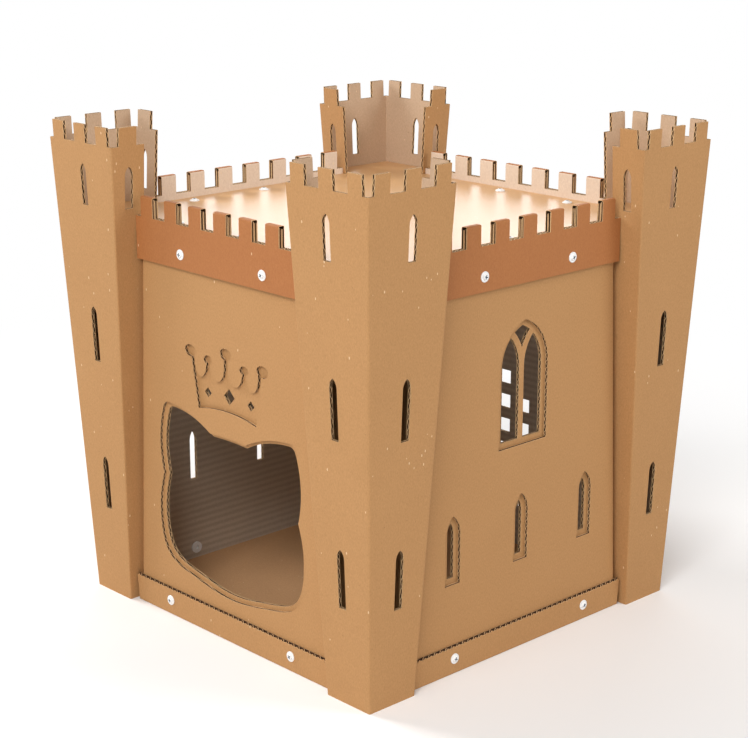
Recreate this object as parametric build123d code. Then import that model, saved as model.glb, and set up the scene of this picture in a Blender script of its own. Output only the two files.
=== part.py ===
from build123d import *

import os
from math import sqrt

# A play castle folded from corrugated board: a square cabin on a shallow tray, under a flat roof
# deck between four battlements, with a flared tower standing round each corner. Millimetres. The
# floor is z = 0 and the castle stands on the middle of its footprint. Every side is drawn as the
# front, which faces -Y, and turned about the vertical axis to its place. Distances out from the
# castle's middle to a face are called "out" here.

# Board and clearances
board = 3.0
ply_gap = 0.1
slot_gap = 0.3
fold_radius = 1.2

# Cabin walls
wall_out = 174.6
floor_top = board

# Towers
tower_foot_out = 184.3
tower_flare = 0.0437
return_foot_out = 134.25
return_lean = 0.055
return_edge_out = 168.5
tower_notch_z = 418.3
tower_merlon_height = 16.0
tower_merlon_width = 15.3
tower_merlon_pitch = 31.6
tower_merlon_count = 3
return_merlon_width = 18.0
tower_slit_width = 8.4
tower_slit_height = 50.5
tower_slit_shift = 1.6
low_slit_sill = 82.8
middle_slit_sill = 222.9
top_slit_sill = tower_notch_z - 54.3
top_slit_height = 36.5

# Roof deck and the battlements round it
deck_top = 352.5
deck_underside = deck_top - board
battlement_flap = 30.0
band_bottom_z = 320.5
parapet_notch_z = 358.0
parapet_top_z = 375.5
parapet_merlon_width = 16.07
parapet_merlon_pitch = 32.83
parapet_merlon_count = 7
crest_radius = 1.5

# Base tray
skirting_top_z = 24.8
skirting_foot_gap = 5.2
skirting_top_gap = 1.3

# Pointed openings: an arch's radius is this many half-widths, larger in the slender ones
arch_ratio = 1.43
lancet_ratio = 2.3
reveal = 5.0

# Small windows
small_window_width = 17.5
small_window_sill = 78.0
small_window_apex = 138.1
small_window_pitch = 82.0
small_window_count = 3

# Large window with Y tracery
large_window_width = 58.4
large_window_sill = 181.0
large_window_apex = 288.6
tracery_bar = 5.6

# Cat-head door
door_width = 194.0
door_bottom_z = 37.5
door_top_z = 198.0
door_ledge = 3.8

# Crown over the door: the outer stalks stand a little inside their balls
crown_foot_z = 202.1
crown_foot_half = 38.2
crown_foot_rise = 4.3
crown_spacing = 23.6
crown_stalk = 5.2
crown_lean = 3.0
crown_tongue_z = 230.8
crown_tongue_rise = 14.0
crown_middle_z = 256.3
crown_inner_z = 247.1
crown_outer_z = 251.0
crown_ball_half_width = 7.4
crown_ball_half_height = 5.2
inner_ball_scale = 0.76
gem_z = 217.4
gem_half_height = 4.6
gem_half_width = 4.65
gem_spacing = 28.2
middle_gem_z = 219.3
middle_gem_scale = 1.55

# Gate in the back wall: a pointed opening with a square lattice behind it
gate_width = 122.0
gate_sill = 37.5
gate_apex = 188.0
lattice_hole = 13.8
lattice_pitch = 24.3
lattice_top_z = 170.0
lattice_rows = 6
lattice_side_columns = 2

# Plastic screws and their sockets
head_diameter = 9.0
head_height = 2.0
shank_diameter = 3.6
socket_wall = 0.7
socket_flange_diameter = 11.0
socket_flange = 1.6
fastener_gap = 0.3
band_screw_half_spacing = 53.0
band_screw_z = 333.0
skirting_screw_half_spacing = 81.6
skirting_screw_z = 13.6
deck_screw_out = 156.0
deck_screw_pitch = 82.0
deck_screw_count = 3

# Values that follow from those above
tower_top_z = tower_notch_z + tower_merlon_height
inner_wall_out = wall_out - board - ply_gap
inner_face_out = inner_wall_out - board
skin_out = wall_out + ply_gap + board
wall_top = deck_underside - board
socket_bore = shank_diameter + 2 * fastener_gap
socket_diameter = socket_bore + 2 * socket_wall
socket_hole = socket_diameter + 2 * fastener_gap
front_plane = Plane(origin=(0, 0, 0), x_dir=(1, 0, 0), z_dir=(0, -1, 0))
sides = {"front": 0, "right": 90, "back": 180, "left": 270}


def turned(shape, angle):
    """A shape drawn for the front, turned about the vertical axis to another side."""
    return Rot(0, 0, angle) * shape


def through_front(sketch, inner_out, outer_out):
    """A sketch in the front's own plane made solid between two distances out."""
    return extrude(front_plane.offset(inner_out) * sketch, outer_out - inner_out)


def tower_out(z):
    """How far out the tower's two wide faces stand at a height."""
    return tower_foot_out + tower_flare * z


def return_out(z):
    """How far out the tower's return stands, on its side towards the castle, at a height."""
    return return_foot_out - return_lean * z


def spread(count, pitch):
    """Places of a centred row."""
    return [(i - (count - 1) / 2) * pitch for i in range(count)]


# Folded sheets

def folded_section(inner_line, z):
    """Plan section of a folded sheet: its inner line thickened outwards."""
    line = Polyline(*inner_line)
    section = make_face(offset(line, board, kind=Kind.INTERSECTION, side=Side.RIGHT, closed=True))
    return Pos(0, 0, z) * section


def folded_sheet(inner_line_at, low_z, high_z):
    """A standing folded sheet whose folds lean as its plan changes, round on their outer side."""
    sheet = loft([folded_section(inner_line_at(z), z) for z in (low_z, high_z)], ruled=True)
    middle_z = (low_z + high_z) / 2
    creases = [Vector(x, y, middle_z) for x, y in inner_line_at(middle_z)[1:-1]]
    outer_folds = [edge for edge in sheet.edges()
                   for crease in creases if board < (edge.center() - crease).length < 1.5 * board]
    return fillet(outer_folds, fold_radius)


# Pointed openings

def pointed_opening(width, sill, apex, ratio, inset=0.0):
    """A pointed arch on two straight jambs; the inset one has the same arch centres."""
    radius = ratio * width / 2
    centre = width / 2 - radius
    spring = apex - sqrt(radius**2 - centre**2)
    half = width / 2 - inset
    point = spring + sqrt((radius - inset) ** 2 - centre**2)
    right_arc = TangentArc((half, spring), (0, point), tangent=(0, 1))
    left_arc = mirror(right_arc, Plane.YZ)
    jambs = Polyline((-half, spring), (-half, sill + inset), (half, sill + inset), (half, spring))
    return make_face([jambs, right_arc, left_arc])


def small_windows(inset=0.0):
    """The row of small windows low in a side wall."""
    window = pointed_opening(small_window_width, small_window_sill, small_window_apex, lancet_ratio, inset)
    return [Pos(x, 0) * window for x in spread(small_window_count, small_window_pitch)]


def large_window(inset=0.0):
    """The pointed window high in a side wall."""
    return pointed_opening(large_window_width, large_window_sill, large_window_apex, arch_ratio, inset)


def tracery():
    """Two lights and the eye over them, left open by a bar that branches along the arch."""
    window_arch = arch_ratio * large_window_width / 2
    centre = large_window_width / 2 - window_arch
    spring = large_window_apex - sqrt(window_arch**2 - centre**2)
    opening = large_window(reveal)
    radius = window_arch - reveal
    light_centre = tracery_bar / 2 + radius
    half = large_window_width / 2
    upper = Pos(0, spring + half) * Rectangle(4 * half, 2 * half)
    lower = Pos(0, spring - 2 * half) * Rectangle(4 * half, 4 * half)
    lights = []
    for side in (-1, 1):
        reach = Pos(side * light_centre, spring) * Circle(radius)
        jamb = Pos(side * (tracery_bar / 2 + half), spring - 2 * half) * Rectangle(2 * half, 4 * half)
        lights += [opening & upper & reach, opening & lower & jamb]
    eye = opening & upper
    for side in (-1, 1):
        eye -= Pos(side * light_centre, spring) * Circle(radius + tracery_bar)
    return lights + [eye]


# Door and crown

def cat_head(ledge=0.0):
    """Door outline: round cheeks and chin, a nick over each cheek, and two ears."""
    half = door_width / 2
    tall = (door_top_z - door_bottom_z) / 2
    nick = (0.93 * half, 0.165 * tall)
    ear_tip = (0.885 * half, tall)
    ear_root = (0.24 * half, 0.81 * tall)
    chin = Spline((0, -tall), (0.52 * half, -0.915 * tall), (0.9 * half, -0.74 * tall), (half, -0.3 * tall),
                  nick, tangents=((1, 0), (-0.34, 1)))
    cheek = ThreePointArc(nick, (0.968 * half, 0.6 * tall), ear_tip)
    ear = ThreePointArc(ear_tip, (0.55 * half, 0.955 * tall), ear_root)
    brow = ThreePointArc(ear_root, (0, 0.818 * tall), (-ear_root[0], ear_root[1]))
    right_half = [chin, cheek, ear]
    left_half = [mirror(curve, Plane.YZ) for curve in right_half]
    head = make_face([*right_half, brow, *left_half])
    ear_tips = head.vertices().group_by(Axis.Y)[-1]
    head = fillet(ear_tips, 0.08 * half)
    smaller = 1 - ledge / tall
    return Pos(0, door_bottom_z + tall) * scale(head, smaller)


def crown():
    """Crown with five balled spikes that flare into a band over a hollow foot."""
    outer_x = 2 * crown_spacing
    side_top = (outer_x - crown_lean + crown_stalk / 2, crown_outer_z)
    rim = Polyline((-side_top[0], crown_outer_z), (-crown_spacing, crown_inner_z), (0, crown_middle_z),
                   (crown_spacing, crown_inner_z), side_top)
    right_side = Line(side_top, (crown_foot_half, crown_foot_z))
    left_side = mirror(right_side, Plane.YZ)
    foot = ThreePointArc((crown_foot_half, crown_foot_z), (0, crown_foot_z + crown_foot_rise),
                         (-crown_foot_half, crown_foot_z))
    shape = make_face([rim, right_side, foot, left_side])
    tongue_centre_z = crown_tongue_z + crown_tongue_rise
    for near, far in ((0, crown_spacing), (crown_spacing, outer_x - crown_lean)):
        tongue_half = (far - near - crown_stalk) / 2
        tongue = Ellipse(tongue_half, crown_tongue_rise)
        tongue += Pos(0, outer_x / 2) * Rectangle(2 * tongue_half, outer_x)
        for side in (-1, 1):
            shape -= Pos(side * (near + far) / 2, tongue_centre_z) * tongue
    ball = Ellipse(crown_ball_half_width, crown_ball_half_height)
    shape += Pos(0, crown_middle_z) * ball
    for side in (-1, 1):
        shape += Pos(side * crown_spacing, crown_inner_z) * scale(ball, inner_ball_scale)
        shape += Pos(side * outer_x, crown_outer_z) * ball
    return shape


def gems():
    """Three diamonds cut through the sheet behind the crown, the middle one larger."""
    gem = Polygon((gem_half_width, 0), (0, gem_half_height), (-gem_half_width, 0), (0, -gem_half_height),
                  align=None)
    row = [Pos(x, gem_z) * gem for x in (-gem_spacing, gem_spacing)]
    return row + [Pos(0, middle_gem_z) * scale(gem, middle_gem_scale)]


def gate():
    """The pointed gate opening of the back wall's outer sheet."""
    return pointed_opening(gate_width, gate_sill, gate_apex, arch_ratio)


def lattice():
    """Square holes that draw a barred gate, one row fewer in each column outwards."""
    hole = Rectangle(lattice_hole, lattice_hole)
    holes = []
    for step in range(-lattice_side_columns, lattice_side_columns + 1):
        for row in range(abs(step), lattice_rows):
            holes.append(Pos(step * lattice_pitch, lattice_top_z - row * lattice_pitch) * hole)
    return holes


# Fasteners

def fastener_places():
    """Where the three kinds of screw sit: a location whose axis points out of the board."""
    band = []
    skirting = []
    deck = []
    for angle in sides.values():
        turn = Rot(0, 0, angle)
        for half, z, row in ((band_screw_half_spacing, band_screw_z, band),
                             (skirting_screw_half_spacing, skirting_screw_z, skirting)):
            for x in (-half, half):
                row.append(turn * Pos(x, -skin_out, z) * Rot(90, 0, 0))
        for x in spread(deck_screw_count, deck_screw_pitch):
            deck.append(turn * Pos(x, -deck_screw_out, deck_top))
    return band, skirting, deck


def screw(stack):
    """Domed head on the board's face with its shank turned into the socket."""
    head = Cylinder(head_diameter / 2, head_height, align=(Align.CENTER, Align.CENTER, Align.MIN))
    head = chamfer(head.edges().group_by(Axis.Z)[-1], 0.6 * head_height)
    shank = Cylinder(shank_diameter / 2, stack, align=(Align.CENTER, Align.CENTER, Align.MAX))
    return head + shank


def socket(stack):
    """Flanged sleeve from the inner side through the whole stack of sheets."""
    sleeve_length = stack - fastener_gap
    sleeve = Pos(0, 0, -stack) * Cylinder(socket_diameter / 2, sleeve_length,
                                          align=(Align.CENTER, Align.CENTER, Align.MIN))
    flange = Pos(0, 0, -stack) * Cylinder(socket_flange_diameter / 2, socket_flange,
                                          align=(Align.CENTER, Align.CENTER, Align.MAX))
    bore = Pos(0, 0, -stack) * Cylinder(socket_bore / 2, 2 * stack)
    return sleeve + flange - bore


def socket_drill(depth):
    """Hole that a socket's sleeve passes through, from the outer face inwards."""
    return Cylinder(socket_hole / 2, 2 * depth)


band_places, skirting_places, deck_places = fastener_places()
wall_stack = skin_out - inner_face_out
deck_stack = 2 * board
wall_drills = [place * socket_drill(wall_stack + board) for place in band_places + skirting_places]
deck_drills = [place * socket_drill(deck_stack + board) for place in deck_places]


def drilled(shape, drills):
    """Cut the holes of the fasteners that pass through a piece."""
    near = shape.bounding_box()
    mine = [drill for drill in drills if near.overlaps(drill.bounding_box())]
    return shape - mine if mine else shape


# Walls: each layer ends in half corner panels at 45 degrees, hidden inside the towers

def wall_line(depth):
    """The inner line of a wall layer that lies this deep behind the wall's face."""
    def at_height(z):
        corner_sum = return_out(z) + return_edge_out - (slot_gap + depth) * sqrt(2)
        face = wall_out - depth
        fold = corner_sum - face
        end_x = (corner_sum - slot_gap) / 2
        end_y = (corner_sum + slot_gap) / 2
        return [(-end_x, -end_y), (-fold, -face), (fold, -face), (end_x, -end_y)]
    return at_height


def wall(angle, depth, openings):
    """One layer of one wall, from the floor sheet up to the battlement's flap."""
    sheet = folded_sheet(wall_line(depth), floor_top, wall_top)
    sheet -= [through_front(opening, inner_face_out - board, skin_out) for opening in openings]
    return drilled(turned(sheet, angle), wall_drills)


# Towers

def tower_line(z):
    """Inner line of a corner tower at the front left: return, face, face, return."""
    near = -return_out(z) - board
    far = -tower_out(z) + board
    edge = -return_edge_out
    return [(edge, near), (far, near), (far, far), (near, far), (near, edge)]


def tower_merlons():
    """The blocks that keep the merlons when the tower's rim is cut down to its notches."""
    blocks = []
    reach = 4 * board
    middle = (return_out(tower_notch_z) + tower_out(tower_notch_z)) / 2
    return_middle = (return_edge_out + tower_out(tower_notch_z)) / 2
    rim_z = tower_notch_z + tower_merlon_height / 2
    for offset_x in spread(tower_merlon_count, tower_merlon_pitch):
        blocks.append(Pos(-middle + offset_x, -tower_out(rim_z), rim_z) * Box(
            tower_merlon_width, reach, tower_merlon_height))
    blocks.append(Pos(-return_out(rim_z) - board / 2, -return_middle, rim_z) * Box(
        reach, return_merlon_width, tower_merlon_height))
    return blocks + [mirror(block, Plane((0, 0, 0), z_dir=(1, -1, 0))) for block in blocks]


def slit(x, sill, height):
    """One slender pointed slit in the plane of a face."""
    return Pos(x, 0) * pointed_opening(tower_slit_width, sill, sill + height, lancet_ratio)


def tower_slits():
    """Pointed slits through the front face and, high up, through the return beside it."""
    cutters = []
    for sill, height in ((low_slit_sill, tower_slit_height), (middle_slit_sill, tower_slit_height),
                         (top_slit_sill, top_slit_height)):
        middle_z = sill + height / 2
        x = -(return_out(middle_z) + tower_out(middle_z)) / 2 + tower_slit_shift
        far_out = tower_out(sill + height) + board
        cutters.append(through_front(slit(x, sill, height), tower_foot_out - 2 * board, far_out))
    return_middle = (return_edge_out + tower_out(top_slit_sill)) / 2
    near_out = return_out(tower_top_z) - board
    cutter = through_front(slit(return_middle, top_slit_sill, top_slit_height), near_out, return_foot_out)
    cutters.append(turned(cutter, -90))
    return cutters + [mirror(cut, Plane((0, 0, 0), z_dir=(1, -1, 0))) for cut in cutters]


def tower():
    """One folded sheet round the castle's front left corner."""
    sheet = folded_sheet(tower_line, 0, tower_top_z)
    rim = Pos(0, 0, tower_notch_z) * Box(3 * tower_foot_out, 3 * tower_foot_out, 2 * tower_merlon_height,
                                         align=(Align.CENTER, Align.CENTER, Align.MIN))
    sheet -= rim - tower_merlons()
    return sheet - tower_slits()


# Tray and deck: flat sheets whose corners reach into the towers past slots for their returns

def flat_sheet(side_half, edge_out, low_z):
    """A flat sheet one board thick: straight side edges, a slot for each return, and corner ears."""
    slot_near = return_edge_out - slot_gap
    slot_far = return_out(low_z) + board + slot_gap
    corner = tower_out(low_z) - board - slot_gap
    half_corner = [(side_half, edge_out), (side_half, slot_near), (slot_far, slot_near), (slot_far, corner),
                   (corner, corner)]
    other_half = [(y, x) for x, y in reversed(half_corner[:-1])]
    quarter = Polygon((0, 0), (0, edge_out), *half_corner, *other_half, (edge_out, 0), align=None)
    half = quarter + mirror(quarter, Plane.YZ)
    outline = half + mirror(half, Plane.XZ)
    return extrude(Pos(0, 0, low_z) * outline, board, dir=(0, 0, 1))


def base_tray():
    """Floor sheet with its four skirtings folded up against the walls."""
    foot_half = return_out(0) - skirting_foot_gap
    top_half = return_out(skirting_top_z) - skirting_top_gap
    outline = Polygon((-foot_half, 0), (foot_half, 0), (top_half, skirting_top_z),
                      (-top_half, skirting_top_z), align=None)
    skirting = through_front(outline, wall_out + ply_gap, skin_out)
    hem = Pos(0, -wall_out, board / 2) * Box(2 * foot_half, 2 * (skin_out - wall_out), board)
    bottom_edge = Pos(0, -skin_out, 0) * Box(3 * foot_half, 2 * fold_radius, 2 * fold_radius)
    fold = Pos(0, -skin_out + fold_radius, fold_radius) * Rot(0, 90, 0) * Cylinder(fold_radius, 3 * foot_half)
    side = skirting + hem - (bottom_edge - fold)
    tray = flat_sheet(foot_half, wall_out, 0)
    for angle in sides.values():
        tray += turned(side, angle)
    return drilled(tray, wall_drills)


def battlement_profile():
    """Cross-section of a battlement: flap under the deck, parapet, flat crest, band outside."""
    thickness = skin_out - inner_wall_out - ply_gap
    band_height = parapet_top_z - band_bottom_z
    parapet_height = parapet_top_z - wall_top
    band = Pos(board / 2 - skin_out, parapet_top_z - band_height / 2) * Rectangle(board, band_height)
    parapet = Pos(board / 2 - wall_out, parapet_top_z - parapet_height / 2) * Rectangle(board, parapet_height)
    parapet = fillet(parapet.vertices().group_by(Axis.Y)[0].sort_by(Axis.X)[0], fold_radius)
    flap = Pos(battlement_flap / 2 - wall_out + board / 2, wall_top + board / 2) * Rectangle(
        battlement_flap + board, board)
    flap = fillet(flap.vertices().group_by(Axis.Y)[0].sort_by(Axis.X)[0], fold_radius)
    crest = Pos(thickness / 2 - skin_out, parapet_top_z - board / 2) * Rectangle(thickness, board)
    corners = Pos(thickness / 2 - skin_out, parapet_top_z - board) * Rectangle(thickness, 2 * board)
    rounded = fillet(corners.vertices().group_by(Axis.Y)[-1], crest_radius)
    return (band + parapet + flap + crest) - (corners - rounded)


def battlement(angle):
    """One doubled strip of board along a side of the roof, notched into merlons."""
    band_half = return_out(parapet_notch_z) - slot_gap
    strip = extrude(Plane.YZ.offset(-band_half) * battlement_profile(), 2 * band_half)
    notch_height = 2 * (parapet_top_z - parapet_notch_z)
    notch_depth = 4 * board
    foot = (Align.CENTER, Align.CENTER, Align.MIN)
    notches = Pos(0, -wall_out, parapet_notch_z) * Box(3 * band_half, notch_depth, notch_height, align=foot)
    merlon = Box(parapet_merlon_width, 2 * notch_depth, notch_height, align=foot)
    for x in spread(parapet_merlon_count, parapet_merlon_pitch):
        notches -= Pos(x, -wall_out, parapet_notch_z) * merlon
    return drilled(turned(strip - notches, angle), wall_drills + deck_drills)


def roof_deck():
    """Flat roof lying on the battlements' flaps, screwed to them."""
    side_half = return_out(parapet_notch_z) - slot_gap
    return drilled(flat_sheet(side_half, inner_wall_out, deck_underside), deck_drills)


# The pieces

window_wall = ([large_window(), *small_windows()], [*tracery(), *small_windows(reveal)])
wall_openings = {
    "front": ([cat_head(), crown()], [cat_head(door_ledge), *gems()]),
    "right": window_wall,
    "back": ([gate()], lattice()),
    "left": window_wall,
}
tower_corners = {"front_left": 0, "front_right": 90, "back_right": 180, "back_left": 270}

pieces = {"base_tray": base_tray(), "roof_deck": roof_deck()}
for side_name, side_angle in sides.items():
    outer_openings, inner_openings = wall_openings[side_name]
    pieces[side_name + "_wall_outer"] = wall(side_angle, board, outer_openings)
    pieces[side_name + "_wall_inner"] = wall(side_angle, 2 * board + ply_gap, inner_openings)
    pieces[side_name + "_battlement"] = battlement(side_angle)
for corner_name, corner_angle in tower_corners.items():
    pieces["tower_" + corner_name] = turned(tower(), corner_angle)
for group, places, stack in (("band", band_places, wall_stack), ("skirting", skirting_places, wall_stack),
                             ("deck", deck_places, deck_stack)):
    pieces[group + "_screws"] = Compound([place * screw(stack) for place in places])
    pieces[group + "_sockets"] = Compound([place * socket(stack) for place in places])

os.makedirs("parts", exist_ok=True)
for node, shape in pieces.items():
    export_step(shape, "parts/" + node + ".step")
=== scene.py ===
from math import ceil, copysign, cos, pi, radians, sin

import bpy
from mathutils import Euler, Matrix, Vector
from mathutils.bvhtree import BVHTree


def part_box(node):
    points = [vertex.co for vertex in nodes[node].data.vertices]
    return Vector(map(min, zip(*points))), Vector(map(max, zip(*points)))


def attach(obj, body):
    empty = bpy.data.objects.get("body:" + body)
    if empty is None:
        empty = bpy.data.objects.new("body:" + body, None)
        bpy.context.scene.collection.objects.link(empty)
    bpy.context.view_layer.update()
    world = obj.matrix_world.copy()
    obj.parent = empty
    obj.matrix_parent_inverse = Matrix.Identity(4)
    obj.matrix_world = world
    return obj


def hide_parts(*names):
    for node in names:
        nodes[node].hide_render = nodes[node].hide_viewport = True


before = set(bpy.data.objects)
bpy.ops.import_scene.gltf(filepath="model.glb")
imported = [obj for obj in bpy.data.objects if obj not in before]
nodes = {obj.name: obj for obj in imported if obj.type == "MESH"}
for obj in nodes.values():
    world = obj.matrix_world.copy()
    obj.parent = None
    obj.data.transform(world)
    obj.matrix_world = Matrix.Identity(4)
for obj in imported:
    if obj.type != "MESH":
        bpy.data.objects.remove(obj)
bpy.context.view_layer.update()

bpy.ops.object.select_all(action="DESELECT")


# The tray: a floor sheet of brown single-wall board whose four edges are folded up as a skirting
# with a wavy-cut top edge. Every sheet of the castle is made here in the same way: two paper liners
# with a waved sheet of paper glued between them, which shows wherever the board is cut.

board_thickness = 0.003
liner_thickness = 0.0004
fluting_thickness = 0.0005
fine_flute = 0.0062
steps_per_flute = 8
scallop_pitch = 0.0066
scallop_depth = 0.0014
steps_per_scallop = 8
weld_distance = 1e-6
smooth_angle = radians(30)
tray_core = (0, 0, 0.1)
up = Vector((0, 0, 1))

# How a sheet's flat panels are told: the least area in square metres, and the slack in a face's
# direction, in its place and in the board's thickness.
smallest_panel = 0.002
same_direction = 0.01
same_plane = 0.0003
same_thickness = 0.0005

# How its cut edges are told: beside each other, faces whose directions have a larger cosine than
# this belong together, and the far side of the board lies within this reach.
rounded_cosine = 0.8
sheet_reach = 1.4 * board_thickness


def choose(piece):
    """Makes one piece the only selected and active one."""
    bpy.ops.object.select_all(action="DESELECT")
    piece.hide_set(False)
    piece.select_set(True)
    bpy.context.view_layer.objects.active = piece


def finish_modifiers(piece):
    """Applies all of a piece's modifiers in order."""
    choose(piece)
    for modifier in list(piece.modifiers):
        bpy.ops.object.modifier_apply(modifier=modifier.name)


def cut_away(piece, cutter, operation="DIFFERENCE"):
    """Cuts one closed mesh with another."""
    trim = piece.modifiers.new("cut", "BOOLEAN")
    trim.operation = operation
    trim.solver = "EXACT"
    trim.object = cutter
    finish_modifiers(piece)


def paint(piece, *finishes):
    """Gives a piece its materials, in the order of their slots."""
    piece.data.materials.clear()
    for finish in finishes:
        piece.data.materials.append(finish)


def sheet_solid(node):
    """A merged copy of a node's mesh, to cut liners and flutes from."""
    solid = nodes[node].copy()
    solid.data = nodes[node].data.copy()
    bpy.context.scene.collection.objects.link(solid)
    solid.parent = None
    choose(solid)
    bpy.ops.object.mode_set(mode="EDIT")
    bpy.ops.mesh.select_all(action="SELECT")
    bpy.ops.mesh.remove_doubles(threshold=weld_distance)
    bpy.ops.object.mode_set(mode="OBJECT")
    bpy.ops.mesh.customdata_custom_splitnormals_clear()
    return solid


def lies_in(face, out, reach):
    """Tells whether a face lies in the plane with this outward direction and distance."""
    return (face.normal - out).length < same_direction and abs(out.dot(face.center) - reach) < same_plane


def flat_planes(solid):
    """The planes that the solid's larger flat faces lie in, each with its faces' corner points."""
    planes = []
    for face in solid.data.polygons:
        for plane in planes:
            if lies_in(face, plane["out"], plane["reach"]):
                break
        else:
            out = face.normal.copy()
            plane = {"out": out, "reach": out.dot(face.center), "area": 0.0, "points": []}
            planes.append(plane)
        plane["area"] += face.area
        plane["points"] += [solid.data.vertices[i].co.copy() for i in face.vertices]
    return [plane for plane in planes if plane["area"] > smallest_panel]


def flat_panels(solid):
    """The flat panels of a folded sheet, as pairs of planes one board thickness apart: each with
    its outward direction, the distance of its middle plane and its corner points."""
    planes = flat_planes(solid)
    panels = []
    for front in planes:
        for back in planes:
            gap = front["reach"] + back["reach"]
            facing = (front["out"] + back["out"]).length < same_direction
            one_board = abs(gap - board_thickness) < same_thickness
            if facing and one_board and front["reach"] > back["reach"]:
                panels.append((front["out"], front["reach"] - gap / 2, front["points"]))
    return panels


def kept_faces(solid, dropped):
    """A copy of a sheet without the faces marked as dropped."""
    skin = solid.copy()
    skin.data = solid.data.copy()
    bpy.context.scene.collection.objects.link(skin)
    choose(skin)
    bpy.ops.object.mode_set(mode="EDIT")
    bpy.ops.mesh.select_mode(type="FACE")
    bpy.ops.mesh.select_all(action="DESELECT")
    bpy.ops.object.mode_set(mode="OBJECT")
    for face, drop in zip(skin.data.polygons, dropped):
        face.select = drop
    bpy.ops.object.mode_set(mode="EDIT")
    bpy.ops.mesh.delete(type="FACE")
    bpy.ops.object.mode_set(mode="OBJECT")
    return skin


def thicken(skin, thickness, offset):
    """Adds the modifier that gives a skin its thickness."""
    solidify = skin.modifiers.new("thickness", "SOLIDIFY")
    solidify.thickness = thickness
    solidify.offset = offset
    return solidify


def fluting(solid, panel, pitch, upright):
    """The waved middle paper of one panel, cut off where the panel ends."""
    out, reach, points = panel
    front = reach + board_thickness / 2
    panel_board = kept_faces(solid, [not lies_in(face, out, front) for face in solid.data.polygons])
    thicken(panel_board, board_thickness, -1)
    finish_modifiers(panel_board)
    standing = abs(out.z) < 0.9
    across = out.cross(up).normalized() if standing else Vector((1, 0, 0))
    rise = out.cross(across)
    run, wave = (rise, across) if upright else (across, rise)
    runs = [point.dot(run) for point in points]
    waves = [point.dot(wave) for point in points]
    length = max(runs) - min(runs) + board_thickness
    width = max(waves) - min(waves) + board_thickness
    steps = ceil(steps_per_flute * width / pitch)
    middle = run * (max(runs) + min(runs)) / 2 + wave * (max(waves) + min(waves)) / 2 + out * reach
    swing = board_thickness / 2 - liner_thickness - fluting_thickness / 2
    bpy.ops.object.select_all(action="DESELECT")
    bpy.ops.mesh.primitive_grid_add(x_subdivisions=steps, y_subdivisions=1, size=1)
    paper = bpy.context.object
    for vertex in paper.data.vertices:
        along = vertex.co.x * width
        height = swing * cos(2 * pi * along / pitch)
        vertex.co = middle + wave * along + run * vertex.co.y * length + out * height
    # The flutes' faces carry the painted shade inside the flutes.
    paint(paper, fluting_paper_painted_shade, cut_paper)
    thicken(paper, fluting_thickness, 0)
    cut_away(paper, panel_board, "INTERSECT")
    bpy.data.objects.remove(panel_board)
    return paper


def smooth_regions(mesh):
    """Groups the faces that meet without a sharp edge between them, as one number per face."""
    beside = {}
    for face in mesh.polygons:
        for key in face.edge_keys:
            beside.setdefault(key, []).append(face.index)
    region = [None] * len(mesh.polygons)
    for first in range(len(region)):
        if region[first] is not None:
            continue
        region[first] = first
        waiting = [first]
        while waiting:
            face = mesh.polygons[waiting.pop()]
            for key in face.edge_keys:
                for other in beside[key]:
                    cosine = mesh.polygons[other].normal.dot(face.normal)
                    if region[other] is None and cosine > rounded_cosine:
                        region[other] = first
                        waiting.append(other)
    return region


def cut_edges(mesh):
    """Tells the sheet's cut edges: the regions with no other side one thickness behind them."""
    tree = BVHTree.FromPolygons([vertex.co for vertex in mesh.vertices],
                                [tuple(face.vertices) for face in mesh.polygons])
    region = smooth_regions(mesh)
    votes = dict.fromkeys(region, 0)
    for face in mesh.polygons:
        just_inside = face.center - face.normal * 1e-5
        distance = tree.ray_cast(just_inside, -face.normal)[3]
        thin = distance is not None and distance < sheet_reach
        votes[region[face.index]] += face.area if thin else -face.area
    return [votes[number] < 0 for number in region]


def liners(solid, core, face_paper, back_paper):
    """The two outer papers: the sheet's faces without its cut edges, given their thickness. Their
    material slots are the two faces, the covered side behind each, painted dark as shade, and the rim of
    each."""
    papers = kept_faces(solid, cut_edges(solid.data))
    paint(papers, face_paper, back_paper, covered_side_painted_shade, covered_side_painted_shade, cut_paper, cut_paper)
    for face in papers.data.polygons:
        face.material_index = 0 if face.normal.dot(face.center - Vector(core)) > 0 else 1
    solidify = thicken(papers, liner_thickness, -1)
    # The covered side of each liner takes the painted shade inside the flutes.
    solidify.material_offset = 2
    solidify.material_offset_rim = 4
    finish_modifiers(papers)
    return papers


def corrugated(solid, node, name, pitch, core, face_paper, back_paper, upright=lambda out: False):
    """One sheet of board as its liners and its flutes, standing for its node. The face paper is on
    the side that looks away from the core, and upright tells in which panels the flutes stand.
    The solid carries the cut paper, which the flutes take on where it cuts them off."""
    papers = liners(solid, core, face_paper, back_paper)
    paint(solid, fluting_paper_painted_shade, cut_paper)
    for face in solid.data.polygons:
        face.material_index = 1
    waves = [fluting(solid, panel, pitch, upright(panel[0])) for panel in flat_panels(solid)]
    choose(papers)
    for paper in waves:
        paper.select_set(True)
    bpy.ops.object.join()
    bpy.data.objects.remove(solid)
    choose(papers)
    bpy.ops.object.shade_smooth_by_angle(angle=smooth_angle)
    settle(papers, name, node)
    return papers


def settle(piece, name, node):
    """Names a finished sheet and lets it stand for its node."""
    piece.name = name
    piece.data.name = name
    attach(piece, "root")
    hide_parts(node)


def turned_copy(piece, name, node, quarters):
    """A like sheet on another side of the castle, with its own mesh."""
    twin = piece.copy()
    twin.data = piece.data.copy()
    bpy.context.scene.collection.objects.link(twin)
    twin.data.transform(Matrix.Rotation(quarters * pi / 2, 4, "Z"))
    settle(twin, name, node)


# The wave texture repeats once in this length at a scale of one.
wave_texture_period = 2 * pi / 20

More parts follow.
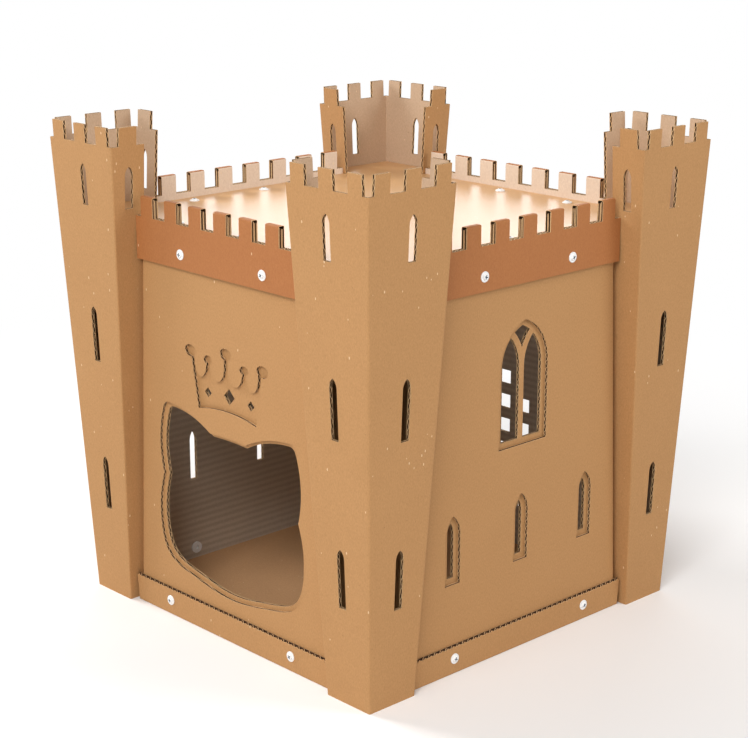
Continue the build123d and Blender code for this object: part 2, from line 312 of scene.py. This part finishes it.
# Flecks in the paper: their stretched cells per metre, their radius in a cell, the share of cells
# left empty, their colour and how much of it shows.
pale_flecks = ((170, 170, 75), 0.09, 0.8, (0.85, 0.66, 0.42, 1), 0.7)
dark_flecks = ((230, 230, 150), 0.07, 0.94, (0.14, 0.07, 0.03, 1), 0.55)


def kraft(name, pale, deep, flute_pitch=0.0, painted_rib_shade=0.0, roughness=0.75, gloss=0.25):
    """Brown paper: fine fibres and grain, faint clouds, ribs over the flutes as bumps and as painted shade in
    the colour, pale and dark flecks.
    """
    paper = bpy.data.materials.new(name)
    paper.use_nodes = True
    tree = paper.node_tree
    link = tree.links.new
    shader = tree.nodes["Principled BSDF"]
    shader.inputs["Roughness"].default_value = roughness
    shader.inputs["Specular IOR Level"].default_value = gloss
    place = tree.nodes.new("ShaderNodeTexCoord")

    def noise(scale):
        stretch = tree.nodes.new("ShaderNodeMapping")
        stretch.inputs["Scale"].default_value = scale
        link(place.outputs["Object"], stretch.inputs["Vector"])
        texture = tree.nodes.new("ShaderNodeTexNoise")
        texture.inputs["Scale"].default_value = 1
        texture.inputs["Detail"].default_value = 3
        link(stretch.outputs["Vector"], texture.inputs["Vector"])
        return texture.outputs["Fac"]

    def maths(operation, *values):
        node = tree.nodes.new("ShaderNodeMath")
        node.operation = operation
        for socket, value in zip(node.inputs, values):
            if isinstance(value, float):
                socket.default_value = value
            else:
                link(value, socket)
        return node.outputs[0]

    fibre = noise((1500, 1500, 500))
    grain = noise((900, 900, 600))
    cloud = noise((14, 14, 14))
    tone = maths("MULTIPLY_ADD", grain, 0.4, maths("MULTIPLY", fibre, 0.5))
    tone = maths("MULTIPLY_ADD", cloud, 0.1, tone)
    relief = fibre
    if flute_pitch:
        lines = tree.nodes.new("ShaderNodeTexWave")
        lines.bands_direction = "Z"
        lines.inputs["Scale"].default_value = wave_texture_period / flute_pitch
        lines.inputs["Distortion"].default_value = 0.4
        link(place.outputs["Object"], lines.inputs["Vector"])
        relief = maths("MULTIPLY_ADD", lines.outputs["Fac"], 0.5, fibre)
        # Lighter and darker stripes along the flutes: painted shade of the ribs.
        tone = maths("MULTIPLY_ADD", maths("SUBTRACT", lines.outputs["Fac"], 0.5), painted_rib_shade, tone)
    ramp = tree.nodes.new("ShaderNodeValToRGB")
    ramp.color_ramp.elements[0].position = 0.36
    ramp.color_ramp.elements[0].color = (*deep, 1)
    ramp.color_ramp.elements[1].position = 0.64
    ramp.color_ramp.elements[1].color = (*pale, 1)
    link(tone, ramp.inputs["Fac"])
    colour = ramp.outputs["Color"]

    for cells, size, rarity, fleck_colour, strength in (pale_flecks, dark_flecks):
        fleck_stretch = tree.nodes.new("ShaderNodeMapping")
        fleck_stretch.inputs["Scale"].default_value = cells
        link(place.outputs["Object"], fleck_stretch.inputs["Vector"])
        flecks = tree.nodes.new("ShaderNodeTexVoronoi")
        flecks.inputs["Scale"].default_value = 1
        link(fleck_stretch.outputs["Vector"], flecks.inputs["Vector"])
        near = maths("LESS_THAN", flecks.outputs["Distance"], size)
        chosen = tree.nodes.new("ShaderNodeSeparateColor")
        link(flecks.outputs["Color"], chosen.inputs["Color"])
        rare = maths("GREATER_THAN", chosen.outputs["Red"], rarity)
        mixed = tree.nodes.new("ShaderNodeMix")
        mixed.data_type = "RGBA"
        mixed.inputs["B"].default_value = fleck_colour
        link(maths("MULTIPLY", maths("MULTIPLY", near, rare), strength), mixed.inputs["Factor"])
        link(colour, mixed.inputs["A"])
        colour = mixed.outputs["Result"]
    link(colour, shader.inputs["Base Color"])

    bump = tree.nodes.new("ShaderNodeBump")
    bump.inputs["Strength"].default_value = 0.25
    bump.inputs["Distance"].default_value = 0.0002
    link(relief, bump.inputs["Height"])
    link(bump.outputs["Normal"], shader.inputs["Normal"])
    return paper


wall_paper = kraft("wall liner", (0.50, 0.267, 0.109), (0.41, 0.213, 0.082), fine_flute)
# The floor liner inside the tray is lifted paler than the outer liner as painted light inside the cabin.
floor_paper_with_painted_light = kraft("floor liner with painted light", (0.66, 0.38, 0.19), (0.55, 0.30, 0.145))
# The fluting paper is painted dark as the shade inside the flutes.
fluting_paper_painted_shade = kraft("fluting paper in painted shade", (0.15, 0.07, 0.03), (0.10, 0.045, 0.019))
# The covered side of the liners is painted dark as the shade inside the flutes.
covered_side_painted_shade = kraft("covered side of the liners in painted shade", (0.08, 0.036, 0.016), (0.055, 0.024, 0.01))
cut_paper = kraft("cut paper edges", (0.78, 0.52, 0.28), (0.62, 0.39, 0.19))


def wavy_top(solid):
    """Cuts a row of shallow scallops into the top edges of the skirting."""
    top = max(vertex.co.z for vertex in solid.data.vertices)
    edge = max(vertex.co.x for vertex in solid.data.vertices)
    count = round(2 * edge / scallop_pitch)
    radius = ((scallop_pitch / 2)**2 + scallop_depth**2) / (2 * scallop_depth)
    for quarter in range(4):
        bpy.ops.object.select_all(action="DESELECT")
        bpy.ops.mesh.primitive_grid_add(x_subdivisions=steps_per_scallop * count, y_subdivisions=1, size=1)
        comb = bpy.context.object
        for vertex in comb.data.vertices:
            x = vertex.co.x * count * scallop_pitch
            aside = abs(x / scallop_pitch - round(x / scallop_pitch)) * scallop_pitch
            hollow = top - scallop_depth + radius - (radius**2 - aside**2) ** 0.5
            vertex.co = Vector((x, -edge, hollow if vertex.co.y < 0 else top + scallop_depth))
        comb.data.transform(Matrix.Rotation(quarter * pi / 2, 4, "Z"))
        thicken(comb, 4 * board_thickness, 0)
        finish_modifiers(comb)
        cut_away(solid, comb)
        bpy.data.objects.remove(comb)


tray = sheet_solid("base_tray")
wavy_top(tray)
corrugated(tray, "base_tray", "tray", scallop_pitch, tray_core, wall_paper, floor_paper_with_painted_light,
           upright=lambda out: abs(out.z) < 0.5)


# The walls: an inner and an outer sheet on each side of the cabin, standing on the tray. The
# outer sheets carry the large openings, and the inner ones show round them as a narrow ledge.

cabin_core = (0, 0, 0.2)
# The cabin liner is paler and greyer than the outer liner: partly a paler inner paper, partly painted light
# inside the cabin. Its stripes along the flutes are painted shade of the ribs.
cabin_paper_with_painted_light = kraft("cabin liner with painted light", (0.60, 0.50, 0.40), (0.49, 0.40, 0.31), fine_flute, painted_rib_shade=0.3)
for layer in ("inner", "outer"):
    for side in ("front", "right", "back"):
        node = f"{side}_wall_{layer}"
        sheet = corrugated(sheet_solid(node), node, f"{side}_{layer}_sheet", fine_flute, cabin_core,
                           wall_paper, cabin_paper_with_painted_light)
        if side == "right":
            turned_copy(sheet, f"left_{layer}_sheet", f"left_wall_{layer}", 2)


# The roof: a flat deck of redder, smoother board, its top liner painted paler as the glare on it,
# and along each side a doubled strip of it that is folded over the top, notched into merlons, and
# screwed to the walls and to the deck.

roof_paper = kraft("roof liner", (0.43, 0.170, 0.056), (0.365, 0.135, 0.042), roughness=0.65)
# The deck liner is paler than the board's own colour: painted glare, besides its real gloss.
deck_paper_with_painted_glare = kraft("deck liner with painted glare", (0.68, 0.39, 0.175), (0.58, 0.32, 0.135), roughness=0.35, gloss=0.6)
pale_paper = kraft("parapet liner", (0.78, 0.64, 0.51), (0.68, 0.54, 0.42))
corrugated(sheet_solid("roof_deck"), "roof_deck", "deck", fine_flute, cabin_core, deck_paper_with_painted_glare, cabin_paper_with_painted_light)
battlement = corrugated(sheet_solid("front_battlement"), "front_battlement", "front_parapet", fine_flute,
                        cabin_core, roof_paper, pale_paper, upright=lambda out: True)
for quarter, side in enumerate(("right", "back", "left"), start=1):
    turned_copy(battlement, f"{side}_parapet", f"{side}_battlement", quarter)


# The towers: one sheet each, scored and folded round a corner of the cabin, flaring upwards,
# with a notched rim and pointed slits.

wide_flute = 0.0083
tower_core = (-0.16, -0.16, 0.2)
tower_paper = kraft("tower liner", (0.50, 0.267, 0.109), (0.41, 0.213, 0.082), wide_flute)
grey_paper = kraft("tower back liner", (0.62, 0.45, 0.31), (0.52, 0.365, 0.24), wide_flute)
tower = corrugated(sheet_solid("tower_front_left"), "tower_front_left", "front_left_tower", wide_flute,
                   tower_core, tower_paper, grey_paper)
for quarter, corner in enumerate(("front_right", "back_right", "back_left"), start=1):
    turned_copy(tower, f"{corner}_tower", f"tower_{corner}", quarter)


# The screws: white moulded plastic, a thin round flange with a raised middle and a cross recess,
# turned through the board into frosted plastic sockets on the inside.

head_radius = 0.0045
head_height = 0.002
dome_radius = 0.62 * head_radius
crown_radius = 0.45 * head_radius
flange_height = 0.0008
flange_rounding = 0.3 * flange_height
shank_radius = 0.0018
turned_sides = 32
recess_length = 0.0036
recess_width = 0.0009
recess_depth = 0.0012
screw_turn = radians(37)
wall_stack = 0.0092
deck_stack = 0.006
band_screw_z = 0.333
band_half_spacing = 0.053
skirting_screw_z = 0.0136
skirting_half_spacing = 0.0816
deck_spacing = 0.082


def plastic(name, colour, roughness):
    """Moulded plastic with a faintly uneven sheen."""
    unevenness = 0.06
    material = bpy.data.materials.new(name)
    material.use_nodes = True
    tree = material.node_tree
    shader = tree.nodes["Principled BSDF"]
    shader.inputs["Base Color"].default_value = (*colour, 1)
    place = tree.nodes.new("ShaderNodeTexCoord")
    grain = tree.nodes.new("ShaderNodeTexNoise")
    grain.inputs["Scale"].default_value = 900
    tree.links.new(place.outputs["Object"], grain.inputs["Vector"])
    sheen = tree.nodes.new("ShaderNodeMapRange")
    sheen.inputs["To Min"].default_value = roughness - unevenness
    sheen.inputs["To Max"].default_value = roughness + unevenness
    tree.links.new(grain.outputs["Fac"], sheen.inputs["Value"])
    tree.links.new(sheen.outputs["Result"], shader.inputs["Roughness"])
    return material


def recess_cutter():
    """A cross-shaped block half sunk in the head: a grid of nine squares without its corners."""
    bpy.ops.object.select_all(action="DESELECT")
    bpy.ops.mesh.primitive_grid_add(x_subdivisions=3, y_subdivisions=3, size=1)
    grid = bpy.context.object
    for vertex in grid.data.vertices:
        x, y = [copysign(recess_length if abs(along) > 0.4 else recess_width, along) / 2
                for along in vertex.co.xy]
        vertex.co = Vector((x, y, head_height))
    corners = [min(abs(face.center.x), abs(face.center.y)) > recess_width / 2 for face in grid.data.polygons]
    cross = kept_faces(grid, corners)
    bpy.data.objects.remove(grid)
    thicken(cross, 2 * recess_depth, 0)
    finish_modifiers(cross)
    paint(cross, screw_plastic, recess_shade)
    for face in cross.data.polygons:
        face.material_index = 1
    return cross


def lathe_screw(shank_length):
    """One screw standing on z = 0 with its head up: its profile spun round, a cross cut into it."""
    profile = [(0, -shank_length), (shank_radius, -shank_length), (shank_radius, 0), (head_radius, 0),
               (head_radius, flange_height - flange_rounding), (head_radius - flange_rounding, flange_height),
               (dome_radius, flange_height), (0.55 * head_radius, 0.85 * head_height),
               (crown_radius, head_height), (0, head_height)]
    steps = len(profile) - 1
    bpy.ops.object.select_all(action="DESELECT")
    bpy.ops.mesh.primitive_grid_add(x_subdivisions=turned_sides, y_subdivisions=steps, size=1)
    screw = bpy.context.object
    for vertex in screw.data.vertices:
        angle = 2 * pi * (vertex.co.x + 0.5)
        radius, height = profile[round((vertex.co.y + 0.5) * steps)]
        vertex.co = Vector((radius * cos(angle), radius * sin(angle), height))
    bpy.ops.object.mode_set(mode="EDIT")
    bpy.ops.mesh.select_all(action="SELECT")
    bpy.ops.mesh.remove_doubles(threshold=weld_distance)
    bpy.ops.mesh.normals_make_consistent(inside=False)
    bpy.ops.object.mode_set(mode="OBJECT")
    paint(screw, screw_plastic, recess_shade)
    cross = recess_cutter()
    cut_away(screw, cross)
    bpy.data.objects.remove(cross)
    return screw


def screw_set(group, shank_length, spots):
    """All the screws of one kind as one piece, each turned in to its own angle."""
    pattern = lathe_screw(shank_length)
    screws = []
    for number, spot in enumerate(spots):
        screw = pattern.copy()
        screw.data = pattern.data.copy()
        bpy.context.scene.collection.objects.link(screw)
        screw.data.transform(spot @ Matrix.Rotation(screw_turn * number, 4, "Z"))
        screws.append(screw)
    bpy.data.objects.remove(pattern)
    choose(screws[0])
    for screw in screws:
        screw.select_set(True)
    bpy.ops.object.join()
    bpy.ops.object.shade_smooth_by_angle(angle=smooth_angle)
    piece = bpy.context.object
    piece.name = f"{group}_screw_set"
    piece.data.name = piece.name
    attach(piece, "root")
    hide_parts(f"{group}_screws")


screw_plastic = plastic("white screw plastic", (0.88, 0.88, 0.87), 0.35)
recess_shade = plastic("screw recess", (0.20, 0.23, 0.28), 0.5)
socket_plastic = plastic("frosted socket plastic", (0.85, 0.84, 0.82), 0.5)
side_turns = [Matrix.Rotation(quarter * pi / 2, 4, "Z") for quarter in range(4)]
wall_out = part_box("band_screws")[1].x - head_height
deck_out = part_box("deck_screws")[1].x - head_radius
deck_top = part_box("deck_screws")[1].z - head_height
facing_out = Matrix.Rotation(pi / 2, 4, "X")
for group, z, half_spacing in (("band", band_screw_z, band_half_spacing),
                               ("skirting", skirting_screw_z, skirting_half_spacing)):
    screw_set(group, wall_stack, [turn @ Matrix.Translation((x, -wall_out, z)) @ facing_out
                                  for turn in side_turns for x in (-half_spacing, half_spacing)])
screw_set("deck", deck_stack, [turn @ Matrix.Translation((x, -deck_out, deck_top))
                               for turn in side_turns for x in (-deck_spacing, 0, deck_spacing)])
for group in ("band", "skirting", "deck"):
    paint(nodes[f"{group}_sockets"], socket_plastic)


# The floor: a white studio sweep that catches the castle's shadow and fades to white beyond it.

floor_size = 30
shadow_reach = 0.3
white_reach = 1.1


def seen_or_mirrored(tree):
    """A factor that is one for what the camera or a glossy surface sees, and else zero."""
    ray = tree.nodes.new("ShaderNodeLightPath")
    either = tree.nodes.new("ShaderNodeMath")
    either.operation = "ADD"
    tree.links.new(ray.outputs["Is Camera Ray"], either.inputs[0])
    tree.links.new(ray.outputs["Is Glossy Ray"], either.inputs[1])
    return either.outputs[0]


def studio_white():
    """Matt off-white near the castle, and plain white further out."""
    white = bpy.data.materials.new("studio white")
    white.use_nodes = True
    tree = white.node_tree
    link = tree.links.new
    matt = tree.nodes["Principled BSDF"]
    matt.inputs["Base Color"].default_value = (0.94, 0.93, 0.92, 1)
    matt.inputs["Roughness"].default_value = 0.9
    glow = tree.nodes.new("ShaderNodeEmission")
    place = tree.nodes.new("ShaderNodeTexCoord")
    radius = tree.nodes.new("ShaderNodeVectorMath")
    radius.operation = "LENGTH"
    link(place.outputs["Object"], radius.inputs[0])
    fade = tree.nodes.new("ShaderNodeMapRange")
    fade.interpolation_type = "SMOOTHSTEP"
    fade.inputs["From Min"].default_value = shadow_reach
    fade.inputs["From Max"].default_value = white_reach
    link(radius.outputs["Value"], fade.inputs["Value"])
    share = tree.nodes.new("ShaderNodeMath")
    share.operation = "MULTIPLY"
    link(fade.outputs["Result"], share.inputs[0])
    link(seen_or_mirrored(tree), share.inputs[1])
    blend = tree.nodes.new("ShaderNodeMixShader")
    link(share.outputs[0], blend.inputs["Fac"])
    link(matt.outputs["BSDF"], blend.inputs[1])
    link(glow.outputs["Emission"], blend.inputs[2])
    link(blend.outputs["Shader"], tree.nodes["Material Output"].inputs["Surface"])
    return white


bpy.ops.object.select_all(action="DESELECT")
bpy.ops.mesh.primitive_plane_add(size=floor_size, location=(0, 0, 0))
floor = bpy.context.object
floor.name = "studio_floor"
floor.data.materials.append(studio_white())


# The light: a dim pale room, two soft lamps high in front, one on either side, and a low wide
# one behind that the smooth deck mirrors.

room_light = 0.23
lamp_size = 1.2
lamp_aim = Vector((0, 0, 0.2))


def soft_lamp(name, place, power, width=lamp_size, height=lamp_size):
    """A soft rectangular lamp aimed at the middle of the castle."""
    bpy.ops.object.light_add(type="AREA", location=place)
    lamp = bpy.context.object
    lamp.name = name
    lamp.data.shape = "RECTANGLE"
    lamp.data.size = width
    lamp.data.size_y = height
    lamp.data.energy = power
    lamp.rotation_euler = (lamp_aim - Vector(place)).to_track_quat("-Z", "Y").to_euler()


def pale_room():
    """A world that lights the castle dimly and is white where the camera or the deck sees it."""
    room = bpy.data.worlds.new("pale room")
    room.use_nodes = True
    tree = room.node_tree
    dim = tree.nodes["Background"]
    dim.inputs["Color"].default_value = (1, 1, 1, 1)
    dim.inputs["Strength"].default_value = room_light
    bright = tree.nodes.new("ShaderNodeBackground")
    bright.inputs["Color"].default_value = (1, 1, 1, 1)
    bright.inputs["Strength"].default_value = 1
    blend = tree.nodes.new("ShaderNodeMixShader")
    tree.links.new(seen_or_mirrored(tree), blend.inputs["Fac"])
    tree.links.new(dim.outputs["Background"], blend.inputs[1])
    tree.links.new(bright.outputs["Background"], blend.inputs[2])
    tree.links.new(blend.outputs["Shader"], tree.nodes["World Output"].inputs["Surface"])
    return room


soft_lamp("front", (0.5, -2.5, 2.2), 18)
soft_lamp("front_right", (1.5, -2.3, 2.4), 62, width=1.4, height=1.4)
soft_lamp("left", (-2.6, -0.8, 1.8), 70)
soft_lamp("right", (2.3, 1.4, 1.6), 30)
soft_lamp("behind", (-2.1, 2.1, 1.25), 26, width=2.6)
bpy.context.scene.world = pale_room()


# The camera: at standing height in front of the front right tower, looking slightly down.

camera_place = (1.1361, -1.0774, 0.6548)
camera_turn = radians(46.67)
camera_dip = radians(15.85)
sensor = 36
focal_pixels = 1815
photo_width = 748
bpy.ops.object.camera_add(location=camera_place, rotation=Euler((pi / 2 - camera_dip, 0, camera_turn)))
camera = bpy.context.object
camera.data.sensor_width = sensor
camera.data.lens = sensor * focal_pixels / photo_width
bpy.context.scene.camera = camera
bpy.context.scene.view_settings.view_transform = "Standard"
